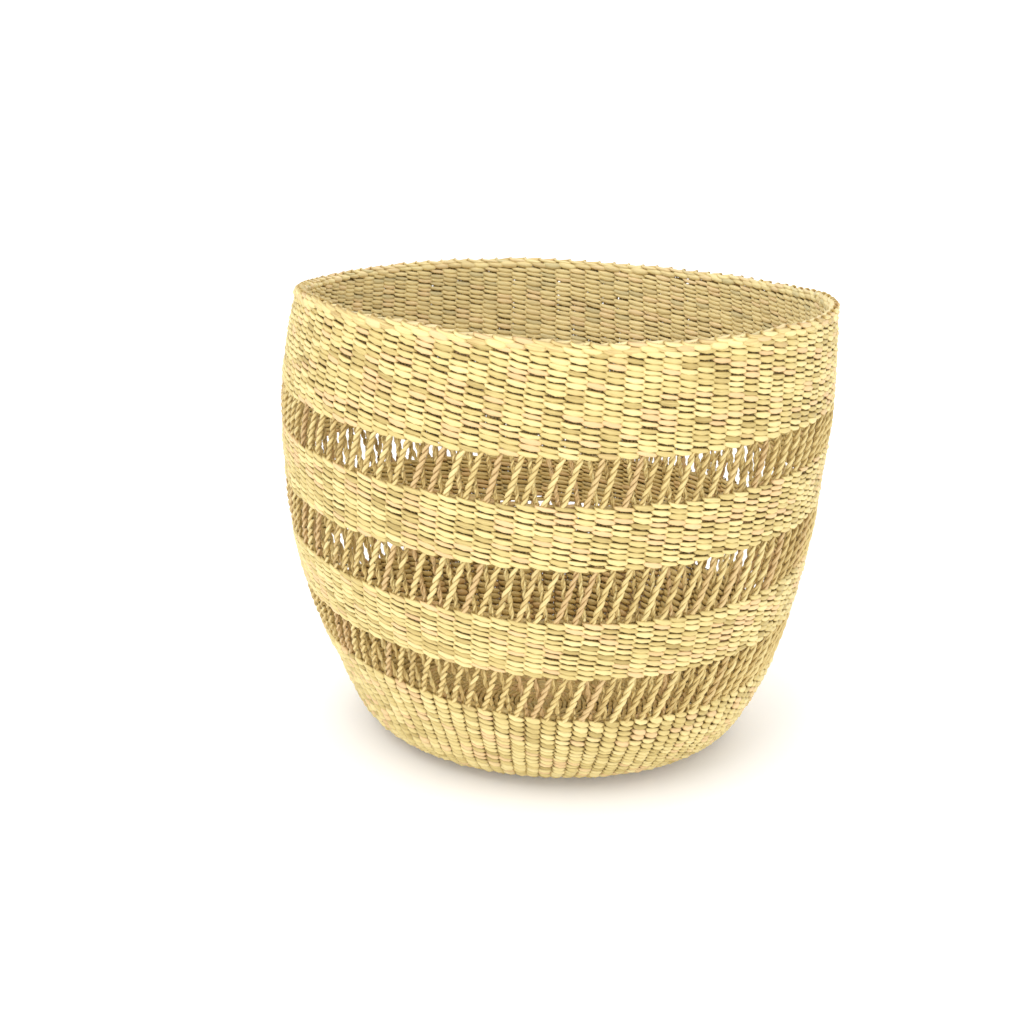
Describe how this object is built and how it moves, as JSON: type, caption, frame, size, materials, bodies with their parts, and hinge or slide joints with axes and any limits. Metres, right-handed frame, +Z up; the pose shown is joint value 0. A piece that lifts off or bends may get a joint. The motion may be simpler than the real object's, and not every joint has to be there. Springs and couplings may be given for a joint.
{
  "type": "woven market basket",
  "caption": "Round open-topped straw basket with a flat base, twined closed bands, openwork bands of crossed stakes between them, and a rolled rim; holds shopping, produce or linen.",
  "frame": {"origin": "middle of the underside, in the plane the basket stands on", "axes": "+Z up through the mouth, the axis the basket is round about"},
  "size_m": [0.3198, 0.3198, 0.2545],
  "materials": {
    "weave_straw": "satin",
    "stake_straw": "matte",
    "rim_straw": "satin"
  },
  "bodies": {
    "root": {"base_under_weave": "weave_straw", "base_upper_weave": "weave_straw", "base_knot": "weave_straw", "foot_band_outer_weave": "weave_straw", "foot_band_inner_weave": "weave_straw", "lower_band_outer_weave": "weave_straw", "lower_band_inner_weave": "weave_straw", "middle_band_outer_weave": "weave_straw", "middle_band_inner_weave": "weave_straw", "top_band_outer_weave": "weave_straw", "top_band_inner_weave": "weave_straw", "base_first_spokes": "stake_straw", "base_added_spokes": "stake_straw", "foot_band_stakes": "stake_straw", "lower_band_stakes": "stake_straw", "middle_band_stakes": "stake_straw", "top_band_stakes": "stake_straw", "low_openwork_front_cords": "stake_straw", "low_openwork_back_stakes": "stake_straw", "middle_openwork_front_cords": "stake_straw", "middle_openwork_back_stakes": "stake_straw", "upper_openwork_front_cords": "stake_straw", "upper_openwork_back_stakes": "stake_straw", "rim_core": "rim_straw", "rim_roll": "rim_straw"}
  },
  "joints": []
}
